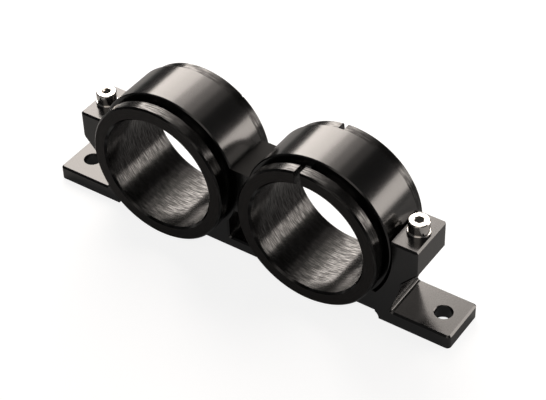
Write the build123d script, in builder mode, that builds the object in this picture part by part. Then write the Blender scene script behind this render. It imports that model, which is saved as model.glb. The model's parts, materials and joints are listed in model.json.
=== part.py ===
from build123d import *
import math
import os

os.makedirs("parts", exist_ok=True)

# Twin tube clamp: a one-piece aluminium body with two closed rings on a slim base, a bolting
# foot and a screw ear at each end, and a split double-flange sleeve turning in each ring.
# X runs along the body, Y along the tubes, Z up. The origin is under the middle of the body,
# in the plane of the feet. All sizes are in millimetres.

# Sleeves
TUBE_DIAMETER = 60.0
SLEEVE_WALL = 4.45
FLANGE_OVERHANG = 2.75
FLANGE_THICKNESS = 6.2
FRONT_GAP = 3.7
BACK_GAP = 0.3
FLANGE_CHAMFER = 0.9
FLANGE_BACK_CHAMFER = 0.4
BORE_CHAMFER = 1.0
SLIT_WIDTH = 3.0
SLIT_LIP_RADIUS = 0.8
NARROW_SLIT_WIDTH = 0.9
CLOSED_SLIT_WIDTH = 0.1
RIGHT_SLIT_ANGLE = 96.0
LEFT_SLIT_ANGLE = 52.5

# Rings
RUNNING_FIT = 0.05
RING_WALL = 4.5
RING_DEPTH = 25.4
RING_PITCH = 83.6
RING_HEIGHT = 40.0
RING_CHAMFER = 0.6

# Middle of the body
PIT_WIDTH = 16.6
PIT_ROOT_RADIUS = 1.5
BRIDGE_WIDTH = 14.0
BRIDGE_TOP_HEIGHT = 53.0
BRIDGE_UNDERSIDE_HEIGHT = 28.0
BASE_TOP_HEIGHT = 9.7
BASE_CHAMFER = 0.8
SHOULDER_REACH = 31.6
RELIEF_HEIGHT = 4.1
RELIEF_OVERRUN = 2.1

# Feet, webs and ears
BODY_LENGTH = 225.0
BODY_DEPTH = 26.0
FOOT_THICKNESS = 7.4
FOOT_CORNER_RADIUS = 2.0
FOOT_HOLE_INSET = 10.5
FOOT_HOLE_DIAMETER = 8.5
FOOT_HOLE_BREAK = 0.35
KERF_WIDTH = 1.0
EAR_LENGTH = 12.6
EAR_TOP_HEIGHT = 49.5
EAR_UNDERSIDE_HEIGHT = 35.4
WEB_KNEE_REACH = 5.1
WEB_KNEE_HEIGHT = 27.0
WEB_KNEE_RADIUS = 7.0
WEB_ROOT_INSET = 0.8
WEB_ROOT_RADIUS = 1.5
EDGE_CHAMFER = 0.9

# Screws and washers
SCREW_DIAMETER = 6.0
SCREW_LENGTH = 16.0
SCREW_HEAD_DIAMETER = 10.0
SCREW_HEAD_HEIGHT = 4.0
SCREW_HEAD_CHAMFER = 0.45
SCREW_TIP_CHAMFER = 0.8
SOCKET_FLATS = 4.0
SOCKET_DEPTH = 2.3
SOCKET_BREAK = 0.25
THREAD_CLEARANCE = 0.05
TAPPED_DEPTH = 15.5
FLAT_WASHER_DIAMETER = 11.0
FLAT_WASHER_THICKNESS = 1.6
FLAT_WASHER_CLEARANCE = 0.2
FLAT_WASHER_CHAMFER = 0.3
SPRING_WASHER_DIAMETER = 9.9
SPRING_WASHER_THICKNESS = 1.6
SPRING_WASHER_CLEARANCE = 0.1
SPRING_WASHER_SLIT = 0.7
SPRING_WASHER_SLANT = 25.0
LEFT_WASHER_SLIT_ANGLE = -120.0
RIGHT_WASHER_SLIT_ANGLE = -35.0

# Sizes that follow from the ones above
bore_radius = TUBE_DIAMETER / 2
sleeve_radius = bore_radius + SLEEVE_WALL
flange_radius = sleeve_radius + FLANGE_OVERHANG
front_flange_face = RING_DEPTH / 2 + FRONT_GAP
back_flange_face = RING_DEPTH / 2 + BACK_GAP
sleeve_front = front_flange_face + FLANGE_THICKNESS
sleeve_back = back_flange_face + FLANGE_THICKNESS
ring_bore_radius = sleeve_radius + RUNNING_FIT
ring_radius = ring_bore_radius + RING_WALL
ring_x = RING_PITCH / 2
kerf_radius = ring_radius + KERF_WIDTH
shoulder_x = ring_x + SHOULDER_REACH
shoulder_height = RING_HEIGHT - math.sqrt(kerf_radius**2 - SHOULDER_REACH**2)
relief_end = shoulder_x + RELIEF_OVERRUN
kerf_side_x = ring_x + kerf_radius
ear_outer_x = kerf_side_x + EAR_LENGTH
ear_inner_x = ring_x + math.sqrt(kerf_radius**2 - (EAR_TOP_HEIGHT - RING_HEIGHT) ** 2)
screw_x = (ear_inner_x + ear_outer_x) / 2
foot_end_x = BODY_LENGTH / 2
foot_hole_x = foot_end_x - FOOT_HOLE_INSET
web_top_height = RING_HEIGHT - ring_bore_radius / 2
washer_seat = EAR_TOP_HEIGHT
spring_seat = washer_seat + FLAT_WASHER_THICKNESS
head_seat = spring_seat + SPRING_WASHER_THICKNESS
tapped_radius = SCREW_DIAMETER / 2 + THREAD_CLEARANCE


def ring_plane(centre_x):
    """Plane holding a ring's axis along its local Y, with the radius along its local X."""
    return Plane(origin=(centre_x, 0, RING_HEIGHT), x_dir=(1, 0, 0), z_dir=(0, 0, 1))


def ring_axis(centre_x):
    """Axis of a ring and of the sleeve in it."""
    return Axis((centre_x, 0, RING_HEIGHT), (0, 1, 0))


def is_outline_edge(edge):
    """True for the edges of the feet, webs and ears that have a chamfer."""
    centre = edge.center()
    reach = abs(centre.X)
    above_foot = centre.Z > FOOT_THICKNESS - EDGE_CHAMFER
    near_ear_top = centre.Z > EAR_TOP_HEIGHT - EDGE_CHAMFER
    at_ear_end = abs(reach - ear_outer_x) < EDGE_CHAMFER and near_ear_top
    at_foot_end = abs(reach - foot_end_x) < FOOT_CORNER_RADIUS and above_foot
    if at_ear_end or at_foot_end:
        return True
    on_side = abs(abs(centre.Y) - BODY_DEPTH / 2) < FOOT_CORNER_RADIUS
    beyond_shoulder = reach > shoulder_x + EDGE_CHAMFER
    along_kerf = edge.geom_type == GeomType.CIRCLE and abs(edge.radius - kerf_radius) < KERF_WIDTH / 2
    across = edge.geom_type == GeomType.LINE and abs(edge.tangent_at(0.5).Y) > 0.5
    return on_side and beyond_shoulder and above_foot and not along_kerf and not across


def is_pit_edge(edge):
    """True for the front and back edges of the pit between the rings."""
    centre = edge.center()
    on_face = abs(abs(centre.Y) - RING_DEPTH / 2) < RUNNING_FIT
    in_pit = abs(centre.X) < PIT_WIDTH / 2 + RUNNING_FIT
    between = BASE_TOP_HEIGHT - RUNNING_FIT < centre.Z < web_top_height - RUNNING_FIT
    return on_face and in_pit and between


# Body: feet, webs and ears are one profile, mirrored to the other end
with BuildPart() as clamp_body:
    with BuildSketch(Plane.XZ) as bracket_profile:
        with BuildLine() as bracket_outline:
            Line((shoulder_x, RELIEF_HEIGHT), (shoulder_x, shoulder_height))
            ThreePointArc(
                (shoulder_x, shoulder_height),
                (kerf_side_x, RING_HEIGHT),
                (ear_inner_x, EAR_TOP_HEIGHT),
            )
            Polyline(
                (ear_inner_x, EAR_TOP_HEIGHT),
                (ear_outer_x, EAR_TOP_HEIGHT),
                (ear_outer_x, EAR_UNDERSIDE_HEIGHT),
                (kerf_side_x + WEB_KNEE_REACH, WEB_KNEE_HEIGHT),
                (kerf_side_x - WEB_ROOT_INSET, FOOT_THICKNESS),
                (foot_end_x, FOOT_THICKNESS),
                (foot_end_x, 0),
                (shoulder_x, 0),
                (shoulder_x, RELIEF_HEIGHT),
            )
        make_face()
        knee = bracket_profile.vertices().filter_by(
            lambda v: abs(v.Y - WEB_KNEE_HEIGHT) < EDGE_CHAMFER and v.X > kerf_side_x
        )
        fillet(knee, radius=WEB_KNEE_RADIUS)
        root = bracket_profile.vertices().filter_by(
            lambda v: abs(v.Y - FOOT_THICKNESS) < EDGE_CHAMFER and v.X < ear_outer_x
        )
        fillet(root, radius=WEB_ROOT_RADIUS)
        mirror(about=Plane.YZ)
    extrude(amount=BODY_DEPTH / 2, both=True)
    foot_corners = clamp_body.edges().filter_by(Axis.Z).filter_by(lambda e: abs(e.center().X) > ear_outer_x)
    fillet(foot_corners, radius=FOOT_CORNER_RADIUS)
    chamfer(clamp_body.edges().filter_by(is_outline_edge), length=EDGE_CHAMFER)

    # Base between the feet, solid up to the rings but for the pit in the middle
    with BuildSketch(Plane.XZ) as middle_profile:
        with BuildLine() as middle_outline:
            Polyline(
                (0, RELIEF_HEIGHT),
                (relief_end, RELIEF_HEIGHT),
                (relief_end, shoulder_height),
                (ring_x, shoulder_height),
                (ring_x, web_top_height),
                (PIT_WIDTH / 2, web_top_height),
                (PIT_WIDTH / 2, BASE_TOP_HEIGHT),
                (0, BASE_TOP_HEIGHT),
                (0, RELIEF_HEIGHT),
            )
        make_face()
        pit_root = middle_profile.vertices().filter_by(
            lambda v: abs(v.X - PIT_WIDTH / 2) < RUNNING_FIT and v.Y < shoulder_height
        )
        fillet(pit_root, radius=PIT_ROOT_RADIUS)
        mirror(about=Plane.YZ)
    extrude(amount=RING_DEPTH / 2, both=True)
    chamfer(clamp_body.edges().filter_by(is_pit_edge), length=BASE_CHAMFER)

    # Bridge that joins the rings over the pit
    bridge_height = BRIDGE_TOP_HEIGHT - BRIDGE_UNDERSIDE_HEIGHT
    with BuildSketch(Plane.XZ):
        with Locations((0, (BRIDGE_TOP_HEIGHT + BRIDGE_UNDERSIDE_HEIGHT) / 2)):
            Rectangle(BRIDGE_WIDTH, bridge_height)
    extrude(amount=RING_DEPTH / 2, both=True)

    # Rings, turned about the tube axes
    for centre_x in (-ring_x, ring_x):
        with BuildSketch(ring_plane(centre_x)) as ring_section:
            with Locations(((ring_bore_radius + ring_radius) / 2, 0)):
                Rectangle(RING_WALL, RING_DEPTH)
            chamfer(ring_section.vertices().sort_by(Axis.X)[2:], length=RING_CHAMFER)
        revolve(axis=ring_axis(centre_x))
    with BuildSketch(Plane.XZ.offset(-BODY_DEPTH / 2)):
        with Locations((-ring_x, RING_HEIGHT), (ring_x, RING_HEIGHT)):
            Circle(ring_bore_radius)
    extrude(amount=BODY_DEPTH, mode=Mode.SUBTRACT)

    # Arched relief under the base, from foot to foot
    with BuildSketch(Plane.XZ.offset(-BODY_DEPTH / 2)):
        with BuildLine():
            Line((0, 0), (relief_end, 0))
            JernArc(start=(relief_end, 0), tangent=(0, 1), radius=RELIEF_HEIGHT, arc_size=90)
            Line((relief_end - RELIEF_HEIGHT, RELIEF_HEIGHT), (0, RELIEF_HEIGHT))
            Line((0, RELIEF_HEIGHT), (0, 0))
        make_face()
        mirror(about=Plane.YZ)
        with Locations((-ring_x, RING_HEIGHT), (ring_x, RING_HEIGHT)):
            Circle(ring_radius, mode=Mode.SUBTRACT)
    extrude(amount=BODY_DEPTH, mode=Mode.SUBTRACT)

    # Bolt holes in the feet and tapped holes in the ears
    with Locations(
        (-foot_hole_x, 0, FOOT_THICKNESS),
        (foot_hole_x, 0, FOOT_THICKNESS),
    ):
        CounterSinkHole(
            radius=FOOT_HOLE_DIAMETER / 2,
            counter_sink_radius=FOOT_HOLE_DIAMETER / 2 + FOOT_HOLE_BREAK,
            depth=FOOT_THICKNESS,
            counter_sink_angle=90,
        )
    with Locations((-screw_x, 0, EAR_TOP_HEIGHT), (screw_x, 0, EAR_TOP_HEIGHT)):
        Hole(radius=tapped_radius, depth=TAPPED_DEPTH)


def split_sleeve(centre_x, slit_angle, front_width, back_width):
    """Double-flange sleeve, split along its length from the bore to the rims."""
    with BuildPart() as sleeve:
        with BuildSketch(ring_plane(centre_x)):
            with BuildLine():
                Polyline(
                    (bore_radius, -sleeve_front + BORE_CHAMFER),
                    (bore_radius + BORE_CHAMFER, -sleeve_front),
                    (flange_radius - FLANGE_CHAMFER, -sleeve_front),
                    (flange_radius, -sleeve_front + FLANGE_CHAMFER),
                    (flange_radius, -front_flange_face - FLANGE_BACK_CHAMFER),
                    (flange_radius - FLANGE_BACK_CHAMFER, -front_flange_face),
                    (sleeve_radius, -front_flange_face),
                    (sleeve_radius, back_flange_face),
                    (flange_radius - FLANGE_BACK_CHAMFER, back_flange_face),
                    (flange_radius, back_flange_face + FLANGE_BACK_CHAMFER),
                    (flange_radius, sleeve_back - FLANGE_CHAMFER),
                    (flange_radius - FLANGE_CHAMFER, sleeve_back),
                    (bore_radius + BORE_CHAMFER, sleeve_back),
                    (bore_radius, sleeve_back - BORE_CHAMFER),
                    (bore_radius, -sleeve_front + BORE_CHAMFER),
                )
            make_face()
        revolve(axis=ring_axis(centre_x))
        slit_middle = (bore_radius + flange_radius) / 2
        slit_height = (flange_radius - bore_radius) * 2
        radians = math.radians(slit_angle)
        outward = (math.cos(radians), 0, math.sin(radians))
        slit_plane = Plane(origin=(centre_x, 0, RING_HEIGHT), x_dir=(0, 1, 0), z_dir=outward)
        with BuildSketch(slit_plane.offset(slit_middle - slit_height / 2)):
            with BuildLine():
                Polyline(
                    (-sleeve_front, -front_width / 2),
                    (sleeve_back, -back_width / 2),
                    (sleeve_back, back_width / 2),
                    (-sleeve_front, front_width / 2),
                    (-sleeve_front, -front_width / 2),
                )
            make_face()
        extrude(amount=slit_height, mode=Mode.SUBTRACT)
        if front_width > SLIT_LIP_RADIUS:
            front_edges = sleeve.faces().sort_by(Axis.Y)[0].edges().filter_by(GeomType.LINE)
            fillet(front_edges.sort_by(Axis.X)[-1], radius=SLIT_LIP_RADIUS)
    return sleeve


right_sleeve = split_sleeve(ring_x, RIGHT_SLIT_ANGLE, SLIT_WIDTH, SLIT_WIDTH)
left_sleeve = split_sleeve(-ring_x, LEFT_SLIT_ANGLE, CLOSED_SLIT_WIDTH, NARROW_SLIT_WIDTH)


def cap_screw(centre_x):
    """Low-head socket cap screw, standing on its washers."""
    with BuildPart() as screw:
        with BuildSketch(Plane.XY.offset(head_seat)):
            with Locations((centre_x, 0)):
                Circle(SCREW_HEAD_DIAMETER / 2)
        extrude(amount=SCREW_HEAD_HEIGHT)
        chamfer(screw.edges().sort_by(Axis.Z)[-1:], length=SCREW_HEAD_CHAMFER)
        with BuildSketch(Plane.XY.offset(head_seat)):
            with Locations((centre_x, 0)):
                Circle(SCREW_DIAMETER / 2)
        extrude(amount=-SCREW_LENGTH)
        chamfer(screw.edges().sort_by(Axis.Z)[:1], length=SCREW_TIP_CHAMFER)
        head_top = head_seat + SCREW_HEAD_HEIGHT
        with BuildSketch(Plane.XY.offset(head_top)):
            with Locations((centre_x, 0)):
                RegularPolygon(radius=SOCKET_FLATS / 2, side_count=6, major_radius=False)
        extrude(amount=-SOCKET_DEPTH, mode=Mode.SUBTRACT)
        socket_mouth = screw.faces().filter_by(Axis.Z).sort_by(Axis.Z)[-1].inner_wires()[0]
        chamfer(socket_mouth.edges(), length=SOCKET_BREAK)
    return screw


left_screw = cap_screw(-screw_x)
right_screw = cap_screw(screw_x)


def spring_washer(centre_x, slit_angle):
    """Split spring washer, pressed flat, with its slanted cut."""
    with BuildPart() as washer:
        with BuildSketch(Plane.XY.offset(spring_seat)):
            with Locations((centre_x, 0)):
                Circle(SPRING_WASHER_DIAMETER / 2)
                Circle(SCREW_DIAMETER / 2 + SPRING_WASHER_CLEARANCE, mode=Mode.SUBTRACT)
        extrude(amount=SPRING_WASHER_THICKNESS)
        middle = spring_seat + SPRING_WASHER_THICKNESS / 2
        upright_plane = Plane(origin=(centre_x, 0, middle)).rotated((0, 0, slit_angle))
        cut_plane = upright_plane.rotated((SPRING_WASHER_SLANT, 0, 0))
        with BuildSketch(cut_plane):
            with Locations((SPRING_WASHER_DIAMETER / 2, 0)):
                Rectangle(SPRING_WASHER_DIAMETER, SPRING_WASHER_SLIT)
        extrude(amount=SPRING_WASHER_THICKNESS * 2, both=True, mode=Mode.SUBTRACT)
    return washer


left_spring_washer = spring_washer(-screw_x, LEFT_WASHER_SLIT_ANGLE)
right_spring_washer = spring_washer(screw_x, RIGHT_WASHER_SLIT_ANGLE)


def flat_washer(centre_x):
    """Plain washer between the spring washer and the ear."""
    with BuildPart() as washer:
        with BuildSketch(Plane.XY.offset(washer_seat)):
            with Locations((centre_x, 0)):
                Circle(FLAT_WASHER_DIAMETER / 2)
                Circle(SCREW_DIAMETER / 2 + FLAT_WASHER_CLEARANCE, mode=Mode.SUBTRACT)
        extrude(amount=FLAT_WASHER_THICKNESS)
        top_rim = washer.faces().sort_by(Axis.Z)[-1].outer_wire()
        chamfer(top_rim.edges(), length=FLAT_WASHER_CHAMFER)
    return washer


left_flat_washer = flat_washer(-screw_x)
right_flat_washer = flat_washer(screw_x)

clamp_body.part.label = "clamp_body"
left_sleeve.part.label = "left_sleeve"
right_sleeve.part.label = "right_sleeve"
left_screw.part.label = "left_screw"
right_screw.part.label = "right_screw"
left_spring_washer.part.label = "left_spring_washer"
right_spring_washer.part.label = "right_spring_washer"
left_flat_washer.part.label = "left_flat_washer"
right_flat_washer.part.label = "right_flat_washer"

export_step(clamp_body.part, "parts/clamp_body.step")
export_step(left_sleeve.part, "parts/left_sleeve.step")
export_step(right_sleeve.part, "parts/right_sleeve.step")
export_step(left_screw.part, "parts/left_screw.step")
export_step(right_screw.part, "parts/right_screw.step")
export_step(left_spring_washer.part, "parts/left_spring_washer.step")
export_step(right_spring_washer.part, "parts/right_spring_washer.step")
export_step(left_flat_washer.part, "parts/left_flat_washer.step")
export_step(right_flat_washer.part, "parts/right_flat_washer.step")
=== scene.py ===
"""Twin tube clamp: black anodised body, split turned sleeves and polished cap screws, in a soft studio."""

import json
import logging
import math
from dataclasses import dataclass, field
from enum import Enum

import bmesh
import bpy
from mathutils import Matrix, Vector

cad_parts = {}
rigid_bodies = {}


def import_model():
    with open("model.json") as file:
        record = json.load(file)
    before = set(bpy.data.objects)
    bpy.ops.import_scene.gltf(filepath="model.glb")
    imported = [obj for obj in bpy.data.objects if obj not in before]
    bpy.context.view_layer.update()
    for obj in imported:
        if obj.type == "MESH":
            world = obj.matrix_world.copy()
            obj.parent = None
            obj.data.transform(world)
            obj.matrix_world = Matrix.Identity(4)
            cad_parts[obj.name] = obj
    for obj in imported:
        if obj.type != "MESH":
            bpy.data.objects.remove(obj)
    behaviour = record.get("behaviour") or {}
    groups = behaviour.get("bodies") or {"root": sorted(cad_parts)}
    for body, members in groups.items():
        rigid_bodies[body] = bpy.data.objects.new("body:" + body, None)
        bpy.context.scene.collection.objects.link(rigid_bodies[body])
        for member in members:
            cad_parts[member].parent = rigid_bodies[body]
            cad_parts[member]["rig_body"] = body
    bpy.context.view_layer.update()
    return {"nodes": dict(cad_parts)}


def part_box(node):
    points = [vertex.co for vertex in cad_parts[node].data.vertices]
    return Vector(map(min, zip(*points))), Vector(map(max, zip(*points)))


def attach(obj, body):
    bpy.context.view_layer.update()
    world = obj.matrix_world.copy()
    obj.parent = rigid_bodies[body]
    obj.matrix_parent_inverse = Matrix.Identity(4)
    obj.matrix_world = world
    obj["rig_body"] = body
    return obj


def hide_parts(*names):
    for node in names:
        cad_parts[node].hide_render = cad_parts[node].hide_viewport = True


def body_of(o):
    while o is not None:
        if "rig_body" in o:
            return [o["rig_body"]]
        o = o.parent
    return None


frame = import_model()
LOG = logging.getLogger("tube_clamp")
MM = 0.001
FACES_THAT_WAY = 0.9
SENSOR_WIDTH = 36
IMAGE_WIDTH = 546
TOWARDS_BACK = 0.616
AROUND_TUBES = 0.788
Colour = tuple[float, float, float, float]


class Side(Enum):
    """Which end of the clamp a piece belongs to."""

    LEFT = "left"
    RIGHT = "right"


def grey(value: float) -> Colour:
    """A plain grey of that value."""
    return (value, value, value, 1.0)


class NodeSheet:
    """A node tree with short calls to add, set and link its nodes."""

    def __init__(self, tree: bpy.types.NodeTree) -> None:
        """Keeps the tree and empties it."""
        self.tree = tree
        tree.nodes.clear()

    def add(self, kind: str, **values: object) -> bpy.types.Node:
        """Adds a node.

        Args:
            kind: the node's type name.
            values: properties to set on it.

        Returns:
            The new node.
        """
        node = self.tree.nodes.new(kind)
        for name, value in values.items():
            setattr(node, name, value)
        return node

    def link(self, source: bpy.types.NodeSocket, target: bpy.types.NodeSocket) -> None:
        """Links two sockets."""
        self.tree.links.new(source, target)

    def math(self, operation: str, a: object, b: object = 0.0, clamp: bool = False) -> bpy.types.NodeSocket:
        """Adds a Math node.

        Args:
            operation: the Math operation.
            a: first socket or number.
            b: second socket or number.
            clamp: whether the result is clamped.

        Returns:
            The node's output.
        """
        node = self.add("ShaderNodeMath", operation=operation, use_clamp=clamp)
        for socket, value in zip(node.inputs, (a, b)):
            if isinstance(value, bpy.types.NodeSocket):
                self.link(value, socket)
            else:
                socket.default_value = value
        return node.outputs[0]

    def ramp(self, factor: bpy.types.NodeSocket, stops: list[tuple[float, float]]) -> bpy.types.NodeSocket:
        """A grey colour ramp.

        Args:
            factor: what drives it.
            stops: pairs of position and grey.

        Returns:
            The ramp's colour output.
        """
        node = self.add("ShaderNodeValToRGB")
        elements = node.color_ramp.elements
        while len(elements) < len(stops):
            elements.new(0.5)
        for element, (position, value) in zip(elements, stops):
            element.position = position
            element.color = (value, value, value, 1)
        self.link(factor, node.inputs["Fac"])
        return node.outputs["Color"]


def group_tree(name: str, inputs: dict[str, float], outputs: dict[str, str]) -> NodeSheet:
    """An empty shader node group.

    Args:
        name: the group's name.
        inputs: input names with their defaults.
        outputs: output names with their socket types.

    Returns:
        The group's sheet.
    """
    tree = bpy.data.node_groups.new(name, "ShaderNodeTree")
    for label, default in inputs.items():
        socket = tree.interface.new_socket(name=label, in_out="INPUT", socket_type="NodeSocketFloat")
        socket.default_value = default
    for label, kind in outputs.items():
        tree.interface.new_socket(name=label, in_out="OUTPUT", socket_type=kind)
    return NodeSheet(tree)


@dataclass
class SurfaceEffects:
    """Shader node groups that more than one finish uses."""

    groups: dict[str, bpy.types.NodeTree] = field(default_factory=dict)
    grain_detail: float = 2.0
    cloud_detail: float = 3.0
    mark_scale: float = 1.0
    mark_detail: float = 3.0
    streak_scale: float = 0.9
    streak_detail: float = 5.0

    def build(self) -> None:
        """Builds each group once."""
        self.groups["grain"] = self.satin_grain()
        self.groups["lathe"] = self.lathe_marks()

    def satin_grain(self) -> bpy.types.NodeTree:
        """Fine even grain of a blasted and anodised surface, with slow cloudy variation."""
        sheet = group_tree(
            "Satin grain",
            {"Scale": 2600.0, "Cloud scale": 45.0},
            {"Grain": "NodeSocketFloat", "Cloud": "NodeSocketFloat"},
        )
        start = sheet.add("NodeGroupInput")
        end = sheet.add("NodeGroupOutput")
        place = sheet.add("ShaderNodeTexCoord")
        fine = sheet.add("ShaderNodeTexNoise")
        fine.inputs["Detail"].default_value = self.grain_detail
        sheet.link(place.outputs["Object"], fine.inputs["Vector"])
        sheet.link(start.outputs["Scale"], fine.inputs["Scale"])
        cloud = sheet.add("ShaderNodeTexNoise")
        cloud.inputs["Detail"].default_value = self.cloud_detail
        sheet.link(place.outputs["Object"], cloud.inputs["Vector"])
        sheet.link(start.outputs["Cloud scale"], cloud.inputs["Scale"])
        sheet.link(fine.outputs["Fac"], end.inputs["Grain"])
        sheet.link(cloud.outputs["Fac"], end.inputs["Cloud"])
        return sheet.tree

    def lathe_marks(self) -> bpy.types.NodeTree:
        """Fine tool marks that run round an axis, spread along it and outwards from it."""
        sheet = group_tree(
            "Lathe marks",
            {"Centre X": 0.0, "Centre Z": 0.0, "Pitch scale": 2600.0, "Swirl": 7.0},
            {"Marks": "NodeSocketFloat", "Streaks": "NodeSocketFloat"},
        )
        start = sheet.add("NodeGroupInput")
        end = sheet.add("NodeGroupOutput")
        place = sheet.add("ShaderNodeTexCoord")
        split = sheet.add("ShaderNodeSeparateXYZ")
        sheet.link(place.outputs["Object"], split.inputs[0])
        x = sheet.math("SUBTRACT", split.outputs["X"], start.outputs["Centre X"])
        z = sheet.math("SUBTRACT", split.outputs["Z"], start.outputs["Centre Z"])
        squares = sheet.math("ADD", sheet.math("MULTIPLY", x, x), sheet.math("MULTIPLY", z, z))
        radius = sheet.math("SQRT", squares)
        angle = sheet.math("ARCTAN2", z, x)
        turn = sheet.math("COSINE", angle)
        other = sheet.math("SINE", angle)
        join = sheet.add("ShaderNodeCombineXYZ")
        reach = sheet.math("ADD", split.outputs["Y"], radius)
        along = sheet.math("MULTIPLY", reach, start.outputs["Pitch scale"])
        sheet.link(along, join.inputs["X"])
        sheet.link(sheet.math("MULTIPLY", turn, start.outputs["Swirl"]), join.inputs["Y"])
        sheet.link(sheet.math("MULTIPLY", other, start.outputs["Swirl"]), join.inputs["Z"])
        marks = sheet.add("ShaderNodeTexNoise")
        marks.inputs["Scale"].default_value = self.mark_scale
        marks.inputs["Detail"].default_value = self.mark_detail
        sheet.link(join.outputs[0], marks.inputs["Vector"])
        broad = sheet.add("ShaderNodeTexNoise")
        broad.inputs["Scale"].default_value = self.streak_scale
        broad.inputs["Detail"].default_value = self.streak_detail
        sheet.link(join.outputs[0], broad.inputs["Vector"])
        sheet.link(marks.outputs["Fac"], end.inputs["Marks"])
        sheet.link(broad.outputs["Fac"], end.inputs["Streaks"])
        return sheet.tree

    def place(self, sheet: NodeSheet, name: str, values: dict[str, float]) -> bpy.types.Node:
        """Places a group in a material.

        Args:
            sheet: the material's sheet.
            name: the group's key.
            values: the group's input values here.

        Returns:
            The group node.
        """
        node = sheet.add("ShaderNodeGroup", node_tree=self.groups[name])
        for label, value in values.items():
            node.inputs[label].default_value = value
        return node


@dataclass(frozen=True)
class AnodisedFinish:
    """Black anodised aluminium, satin."""

    name: str = "Black anodised aluminium"
    base: float = 0.0035
    roughness: float = 0.19
    ior: float = 1.75
    grain_height: float = 0.02
    grain_strength: float = 0.08
    tone_swing: float = 0.15
    gloss_swing: float = 0.06
    def material(self, effects: SurfaceEffects) -> bpy.types.Material:
        """The finish as a material.

        Args:
            effects: the shared groups.

        Returns:
            The material.
        """
        material = bpy.data.materials.new(self.name)
        material.use_nodes = True
        sheet = NodeSheet(material.node_tree)
        shader = sheet.add("ShaderNodeBsdfPrincipled")
        shader.inputs["IOR"].default_value = self.ior
        grain = effects.place(sheet, "grain", {})
        stops = [(0.3, self.base * (1 - self.tone_swing)), (0.7, self.base * (1 + self.tone_swing))]
        sheet.link(sheet.ramp(grain.outputs["Cloud"], stops), shader.inputs["Base Color"])
        swing = sheet.math("MULTIPLY", sheet.math("SUBTRACT", grain.outputs["Cloud"], 0.5), self.gloss_swing)
        sheet.link(sheet.math("ADD", swing, self.roughness), shader.inputs["Roughness"])
        bump = sheet.add("ShaderNodeBump")
        bump.inputs["Strength"].default_value = self.grain_strength
        bump.inputs["Distance"].default_value = self.grain_height * MM
        sheet.link(grain.outputs["Grain"], bump.inputs["Height"])
        sheet.link(bump.outputs["Normal"], shader.inputs["Normal"])
        out = sheet.add("ShaderNodeOutputMaterial")
        sheet.link(shader.outputs[0], out.inputs[0])
        return material


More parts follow.
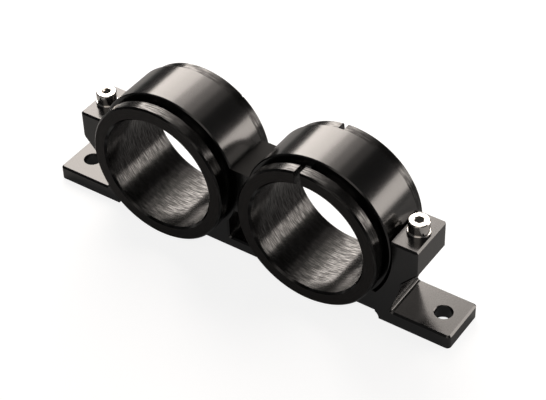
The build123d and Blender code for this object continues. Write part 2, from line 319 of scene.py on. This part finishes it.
@dataclass(frozen=True)
class TurnedFinish:
    """Black sleeve stock, turned, with fine marks round its axis and plainer end faces."""

    name: str
    centre: tuple[float, float, float]
    half_length: float
    base: float = 0.004
    face_base: float = 0.036
    roughness: float = 0.22
    face_roughness: float = 0.5
    ior: float = 1.3
    mark_depth: float = 0.03
    mark_strength: float = 0.1
    gloss_swing: float = 0.2
    coat_ior: float = 1.6
    coat_roughness: float = 0.17
    streak_floor: float = 0.42
    streak_gain: float = 4.5
    face_skin: float = 0.05
    tint: tuple[float, float, float] = (1.06, 1.0, 0.97)

    def face_mask(self, sheet: NodeSheet) -> bpy.types.NodeSocket:
        """One on the two end faces, zero on the turned sides.

        Args:
            sheet: the material's sheet.

        Returns:
            The mask.
        """
        place = sheet.add("ShaderNodeTexCoord")
        split = sheet.add("ShaderNodeSeparateXYZ")
        sheet.link(place.outputs["Object"], split.inputs[0])
        reach = sheet.math("ABSOLUTE", sheet.math("SUBTRACT", split.outputs["Y"], self.centre[1]))
        return sheet.math("GREATER_THAN", reach, self.half_length - self.face_skin * MM)

    def blend(
        self, sheet: NodeSheet, mask: bpy.types.NodeSocket, side: object, face: object
    ) -> bpy.types.NodeSocket:
        """Mixes the value of the sides with that of the end faces.

        Args:
            sheet: the material's sheet.
            mask: one on the end faces.
            side: socket or number on the sides.
            face: socket or number on the faces.

        Returns:
            The mixed value.
        """
        kept = sheet.math("MULTIPLY", sheet.math("SUBTRACT", 1.0, mask), side)
        return sheet.math("ADD", kept, sheet.math("MULTIPLY", mask, face))

    def material(self, effects: SurfaceEffects) -> bpy.types.Material:
        """The finish as a material.

        Args:
            effects: the shared groups.

        Returns:
            The material.
        """
        material = bpy.data.materials.new(self.name)
        material.use_nodes = True
        sheet = NodeSheet(material.node_tree)
        shader = sheet.add("ShaderNodeBsdfPrincipled")
        shader.inputs["IOR"].default_value = self.ior
        shader.inputs["Coat IOR"].default_value = self.coat_ior
        shader.inputs["Coat Roughness"].default_value = self.coat_roughness
        lathe = effects.place(sheet, "lathe", {"Centre X": self.centre[0], "Centre Z": self.centre[2]})
        mask = self.face_mask(sheet)
        streaks, marks = lathe.outputs["Streaks"], lathe.outputs["Marks"]
        tint = sheet.add("ShaderNodeCombineColor")
        base = self.blend(sheet, mask, self.base, self.face_base)
        tone = sheet.math("MULTIPLY", base, sheet.math("ADD", streaks, 0.5))
        for channel, gain in zip(("Red", "Green", "Blue"), self.tint):
            sheet.link(sheet.math("MULTIPLY", tone, gain), tint.inputs[channel])
        sheet.link(tint.outputs[0], shader.inputs["Base Color"])
        swing = sheet.math("MULTIPLY", sheet.math("SUBTRACT", marks, 0.5), self.gloss_swing)
        rough = self.blend(sheet, mask, self.roughness, self.face_roughness)
        sheet.link(sheet.math("ADD", swing, rough, clamp=True), shader.inputs["Roughness"])
        shine = sheet.math("MULTIPLY", sheet.math("SUBTRACT", streaks, self.streak_floor), self.streak_gain)
        bare = sheet.math("SUBTRACT", 1.0, mask)
        sheet.link(sheet.math("MULTIPLY", bare, shine, clamp=True), shader.inputs["Coat Weight"])
        bump = sheet.add("ShaderNodeBump")
        bump.inputs["Strength"].default_value = self.mark_strength
        bump.inputs["Distance"].default_value = self.mark_depth * MM
        sheet.link(marks, bump.inputs["Height"])
        sheet.link(bump.outputs["Normal"], shader.inputs["Normal"])
        out = sheet.add("ShaderNodeOutputMaterial")
        sheet.link(shader.outputs[0], out.inputs[0])
        return material


@dataclass(frozen=True)
class SteelFinish:
    """Polished stainless steel."""

    name: str = "Polished stainless steel"
    colour: Colour = (0.72, 0.7, 0.67, 1.0)
    roughness: float = 0.16
    gloss_swing: float = 0.1
    grain_scale: float = 1400.0
    cloud_scale: float = 160.0

    def material(self, effects: SurfaceEffects) -> bpy.types.Material:
        """The finish as a material.

        Args:
            effects: the shared groups.

        Returns:
            The material.
        """
        material = bpy.data.materials.new(self.name)
        material.use_nodes = True
        sheet = NodeSheet(material.node_tree)
        shader = sheet.add("ShaderNodeBsdfPrincipled")
        shader.inputs["Base Color"].default_value = self.colour
        shader.inputs["Metallic"].default_value = 1.0
        scales = {"Scale": self.grain_scale, "Cloud scale": self.cloud_scale}
        grain = effects.place(sheet, "grain", scales)
        swing = sheet.math("MULTIPLY", sheet.math("SUBTRACT", grain.outputs["Cloud"], 0.5), self.gloss_swing)
        sheet.link(sheet.math("ADD", swing, self.roughness), shader.inputs["Roughness"])
        out = sheet.add("ShaderNodeOutputMaterial")
        sheet.link(shader.outputs[0], out.inputs[0])
        return material


def dress(node: str, material: bpy.types.Material) -> None:
    """Gives a CAD node one material.

    Args:
        node: the node's name.
        material: what it wears.
    """
    mesh = frame["nodes"][node].data
    mesh.materials.clear()
    mesh.materials.append(material)
    LOG.info("dressed %s with %s", node, material.name)


def alone(piece: bpy.types.Object) -> None:
    """Selects that piece only, and makes it the active one."""
    bpy.ops.object.select_all(action="DESELECT")
    piece.select_set(True)
    bpy.context.view_layer.objects.active = piece


@dataclass
class SplitSleeve:
    """A split sleeve, and the lips of its slit where they are in touch."""

    side: Side
    slit_angle: float
    closed: bool
    bore_radius: float = 30.0
    wall_radius: float = 34.4
    front_flange_radius: float = 37.12
    groove_radius: float = 35.9
    flange_thickness: float = 6.2
    front_lip_width: float = 0.15
    back_lip_width: float = 0.94
    bore_clearance: float = 0.03
    end_inset: float = 0.06

    @property
    def node(self) -> str:
        """The CAD node's name."""
        return f"{self.side.value}_sleeve"

    def outwards(self) -> Vector:
        """The direction from the axis to the slit."""
        turn = math.radians(self.slit_angle)
        return Vector((math.cos(turn), 0, math.sin(turn)))

    def lip(self, axis: Vector, start: float, stop: float) -> bpy.types.Object:
        """A strip of the wall that closes the slit, still of an even width.

        Args:
            axis: a point on the sleeve's axis.
            start: where it starts along the axis.
            stop: where it ends.

        Returns:
            The strip, with its place in its mesh.
        """
        inner, outer = (self.bore_radius + self.bore_clearance) * MM, self.wall_radius * MM
        middle = axis + self.outwards() * (inner + outer) / 2
        bpy.ops.object.select_all(action="DESELECT")
        bpy.ops.mesh.primitive_cube_add(
            size=1,
            location=(middle.x, (start + stop) / 2, middle.z),
            rotation=(0, math.radians(90 - self.slit_angle), 0),
            scale=(self.back_lip_width * MM, stop - start, outer - inner),
        )
        strip = bpy.context.object
        bpy.ops.object.transform_apply(location=True, rotation=True, scale=True)
        return strip

    def taper(self, strip: bpy.types.Object, axis: Vector, start: float, stop: float) -> None:
        """Narrows the strip from its back end to its front end, as the slit narrows.

        Args:
            strip: the strip.
            axis: a point on the sleeve's axis.
            start: where the strip starts along the axis.
            stop: where it ends.
        """
        across = self.outwards().cross(Vector((0, 1, 0)))
        alone(strip)
        bpy.ops.object.mode_set(mode="EDIT")
        mesh = bmesh.from_edit_mesh(strip.data)
        for vert in mesh.verts:
            part = (vert.co.y - start) / (stop - start)
            width = self.front_lip_width + (self.back_lip_width - self.front_lip_width) * part
            offset = (vert.co - axis).dot(across)
            vert.co += across * (math.copysign(width / 2 * MM, offset) - offset)
        bmesh.update_edit_mesh(strip.data)
        bpy.ops.object.mode_set(mode="OBJECT")

    def raise_flange(self, strip: bpy.types.Object, start: float, stop: float, radius: float) -> None:
        """Raises the strip's outer side to a flange's radius.

        Args:
            strip: the strip.
            start: where the flange starts along the axis.
            stop: where it ends.
            radius: the radius that it reaches, in millimetres.
        """
        alone(strip)
        bpy.ops.object.mode_set(mode="EDIT")
        for cut in (start, stop):
            bpy.ops.mesh.select_all(action="SELECT")
            bpy.ops.mesh.bisect(plane_co=(0, cut, 0), plane_no=(0, 1, 0))
        bpy.ops.mesh.select_all(action="DESELECT")
        bpy.ops.mesh.select_mode(type="FACE")
        mesh = bmesh.from_edit_mesh(strip.data)
        for face in mesh.faces:
            centre = face.calc_center_median()
            face.select = face.normal.dot(self.outwards()) > FACES_THAT_WAY and start < centre.y < stop
        bmesh.update_edit_mesh(strip.data)
        rise = self.outwards() * (radius - self.wall_radius) * MM
        bpy.ops.mesh.extrude_region_move(TRANSFORM_OT_translate={"value": rise})
        bpy.ops.object.mode_set(mode="OBJECT")

    def close_slit(self, sleeve: bpy.types.Object, low: Vector, high: Vector) -> None:
        """Joins the touching lips to the sleeve.

        Args:
            sleeve: the sleeve's copy.
            low: lower corner of the CAD sleeve.
            high: upper corner of the CAD sleeve.
        """
        axis = (low + high) / 2
        axis.y = 0
        thick, inset = self.flange_thickness * MM, self.end_inset * MM
        front, back = low.y + inset, high.y - inset
        strip = self.lip(axis, front, back)
        self.raise_flange(strip, front + inset, low.y + thick - inset, self.front_flange_radius)
        self.raise_flange(strip, high.y - thick + inset, back - inset, self.groove_radius)
        self.taper(strip, axis, front, back)
        strip.data.materials.append(sleeve.data.materials[0])
        bpy.ops.object.select_all(action="DESELECT")
        for piece in (strip, sleeve):
            piece.select_set(True)
        bpy.context.view_layer.objects.active = sleeve
        bpy.ops.object.join()

    def build(self, effects: SurfaceEffects) -> None:
        """Dresses the CAD sleeve, or a copy of it whose slit is closed.

        Args:
            effects: the shared groups.
        """
        low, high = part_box(self.node)
        half_length = (high.y - low.y) / 2
        finish = TurnedFinish(f"Turned sleeve {self.side.value}", tuple((low + high) / 2), half_length)
        dress(self.node, finish.material(effects))
        if not self.closed:
            return
        source = frame["nodes"][self.node]
        sleeve = bpy.data.objects.new(f"{self.side.value}_split_sleeve", source.data.copy())
        bpy.context.scene.collection.objects.link(sleeve)
        self.close_slit(sleeve, low, high)
        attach(sleeve, body_of(source)[0])
        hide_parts(self.node)
        LOG.info("built %s", sleeve.name)


@dataclass
class Clamp:
    """The clamp's own pieces and their finishes."""

    effects: SurfaceEffects
    land_reach: float = 7.5
    land_height: float = 51.0

    def shaded_bridge_land(self, material: bpy.types.Material) -> None:
        """Paints shade on the bridge's top land between the rings: a rougher, lower-IOR copy of the anodised
        finish that reflects less.

        Args:
            material: the painted-shade finish that the land wears.
        """
        mesh = frame["nodes"]["clamp_body"].data
        mesh.materials.append(material)
        # Painted shade: top faces of the land between the rings get the darker-reflecting finish
        for face in mesh.polygons:
            on_top = face.center.z >= self.land_height * MM and face.normal.z >= FACES_THAT_WAY
            if on_top and abs(face.center.x) < self.land_reach * MM:
                face.material_index = len(mesh.materials) - 1

    def build(self) -> None:
        """Dresses each node."""
        dress("clamp_body", AnodisedFinish().material(self.effects))
        # Painted shade on the bridge land: roughness 0.45 and IOR 1.14 dim its reflection between the rings
        self.shaded_bridge_land(AnodisedFinish("Bridge land painted shade", roughness=0.45, ior=1.14).material(self.effects))
        steel = SteelFinish().material(self.effects)
        SplitSleeve(Side.LEFT, slit_angle=52.5, closed=True).build(self.effects)
        SplitSleeve(Side.RIGHT, slit_angle=96.0, closed=False).build(self.effects)
        for side in Side:
            for piece in ("screw", "spring_washer", "flat_washer"):
                dress(f"{side.value}_{piece}", steel)


@dataclass(frozen=True)
class SoftBox:
    """One soft rectangular lamp that faces the clamp, with its width along the tubes."""

    name: str
    direction: tuple[float, float, float]
    distance: float
    width: float
    height: float
    radiance: float
    colour: tuple[float, float, float] = (1.05, 0.965, 0.895)

    def place(self, aim: Vector) -> None:
        """Adds the lamp.

        Args:
            aim: the point that it faces.
        """
        data = bpy.data.lights.new(self.name, "AREA")
        data.shape = "RECTANGLE"
        data.size = self.width
        data.size_y = self.height
        data.energy = self.radiance * math.pi * self.width * self.height
        data.color = self.colour
        lamp = bpy.data.objects.new(self.name, data)
        bpy.context.scene.collection.objects.link(lamp)
        out = Vector(self.direction).normalized()
        along = (Vector((0, 1, 0)) - out * out.y).normalized()
        pose = Matrix((along, out.cross(along), out)).transposed().to_4x4()
        pose.translation = aim + out * self.distance
        lamp.matrix_world = pose


def seen_share(sheet: NodeSheet, glossy: float) -> bpy.types.NodeSocket:
    """How much of the white background a ray sees: all of it from the camera, a part in a reflection.

    Args:
        sheet: the material's or world's sheet.
        glossy: the part that reflections see.

    Returns:
        The share, from zero to one.
    """
    path = sheet.add("ShaderNodeLightPath")
    mirrored = sheet.math("MULTIPLY", path.outputs["Is Glossy Ray"], glossy)
    direct = sheet.math("MAXIMUM", path.outputs["Is Camera Ray"], path.outputs["Is Transmission Ray"])
    return sheet.math("MAXIMUM", direct, mirrored)


def over_tubes(angle: float) -> tuple[float, float, float]:
    """The direction of a lamp behind the clamp that turned faces mirror to the camera.

    Args:
        angle: degrees round the tube axis, from the right over the top to the left.

    Returns:
        The direction.
    """
    turn = math.radians(angle)
    return (AROUND_TUBES * math.cos(turn), TOWARDS_BACK, AROUND_TUBES * math.sin(turn))


@dataclass
class Studio:
    """Camera, lamps, floor and world."""

    azimuth: float = 35.384
    elevation: float = 40.997
    roll: float = -2.005
    distance: float = 0.842536
    target: tuple[float, float, float] = (-0.016243, 0.03583, -0.006589)
    lens: float = 1672.407 / IMAGE_WIDTH * SENSOR_WIDTH
    floor_size: float = 8
    floor_paint: float = 0.3
    floor_glow: float = 0.86
    surround: float = 0.02
    aim_height: float = 0.06
    floor_in_reflections: float = 0.12
    surround_in_reflections: float = 0.03
    lamps: tuple[SoftBox, ...] = (
        SoftBox("Back left soft box", over_tubes(136.5), 0.7, 0.6, 0.42, 6.0),
        SoftBox("Soft box edge", over_tubes(107.0), 0.7, 0.6, 0.14, 2.6),
        SoftBox("Soft box fade", over_tubes(92.0), 0.7, 0.6, 0.14, 1.1),
        SoftBox("Soft box tail", over_tubes(77.0), 0.7, 0.6, 0.14, 0.3),
        SoftBox("Right strip", over_tubes(15.0), 0.7, 0.6, 0.22, 4.4),
        SoftBox("Front fill", (0.3, -0.8, 0.9), 1.4, 1.2, 1.0, 0.5),
    )

    def camera(self) -> None:
        """Adds the camera."""
        turn, lift, roll = (math.radians(a) for a in (self.azimuth, self.elevation, self.roll))
        out = Vector((math.sin(turn) * math.cos(lift), -math.cos(turn) * math.cos(lift), math.sin(lift)))
        right = (-out).cross(Vector((0, 0, 1))).normalized()
        up = right.cross(-out)
        across = right * math.cos(roll) + up * math.sin(roll)
        above = -right * math.sin(roll) + up * math.cos(roll)
        data = bpy.data.cameras.new("Camera")
        data.lens = self.lens
        data.sensor_width = SENSOR_WIDTH
        data.clip_start = 0.01
        camera = bpy.data.objects.new("Camera", data)
        bpy.context.scene.collection.objects.link(camera)
        pose = Matrix((across, above, out)).transposed().to_4x4()
        pose.translation = Vector(self.target) + out * self.distance
        camera.matrix_world = pose
        bpy.context.scene.camera = camera

    def floor(self) -> None:
        """Adds the pale floor, which keeps the shadow."""
        bpy.ops.object.select_all(action="DESELECT")
        bpy.ops.mesh.primitive_plane_add(size=self.floor_size, location=(0, 0, 0))
        floor = bpy.context.object
        floor.name = "Floor"
        material = bpy.data.materials.new("Pale floor")
        material.use_nodes = True
        sheet = NodeSheet(material.node_tree)
        paint = sheet.add("ShaderNodeBsdfDiffuse")
        paint.inputs["Color"].default_value = grey(self.floor_paint)
        glow = sheet.add("ShaderNodeEmission")
        glow.inputs["Color"].default_value = grey(1.0)
        glow.inputs["Strength"].default_value = self.floor_glow
        both = sheet.add("ShaderNodeAddShader")
        sheet.link(paint.outputs[0], both.inputs[0])
        sheet.link(glow.outputs[0], both.inputs[1])
        mix = sheet.add("ShaderNodeMixShader")
        sheet.link(seen_share(sheet, self.floor_in_reflections), mix.inputs["Fac"])
        sheet.link(paint.outputs[0], mix.inputs[1])
        sheet.link(both.outputs[0], mix.inputs[2])
        out = sheet.add("ShaderNodeOutputMaterial")
        sheet.link(mix.outputs[0], out.inputs[0])
        floor.data.materials.append(material)

    def world(self) -> None:
        """Sets a dim even surround that the camera sees as white."""
        world = bpy.data.worlds.new("Studio")
        bpy.context.scene.world = world
        world.use_nodes = True
        sheet = NodeSheet(world.node_tree)
        dim = sheet.add("ShaderNodeBackground")
        dim.inputs["Color"].default_value = grey(1.0)
        dim.inputs["Strength"].default_value = self.surround
        white = sheet.add("ShaderNodeBackground")
        white.inputs["Color"].default_value = grey(1.0)
        white.inputs["Strength"].default_value = 1.0
        mix = sheet.add("ShaderNodeMixShader")
        sheet.link(seen_share(sheet, self.surround_in_reflections), mix.inputs["Fac"])
        sheet.link(dim.outputs[0], mix.inputs[1])
        sheet.link(white.outputs[0], mix.inputs[2])
        out = sheet.add("ShaderNodeOutputWorld")
        sheet.link(mix.outputs[0], out.inputs[0])

    def build(self) -> None:
        """Sets the whole studio up."""
        self.camera()
        self.floor()
        self.world()
        for lamp in self.lamps:
            lamp.place(Vector((0, 0, self.aim_height)))
        bpy.context.scene.view_settings.view_transform = "Standard"
        LOG.info("studio ready with %d lamps", len(self.lamps))


def main() -> None:
    """Builds the clamp and its studio."""
    logging.basicConfig(level=logging.INFO)
    effects = SurfaceEffects()
    effects.build()
    Clamp(effects).build()
    Studio().build()


if __name__ == "__main__":
    main()
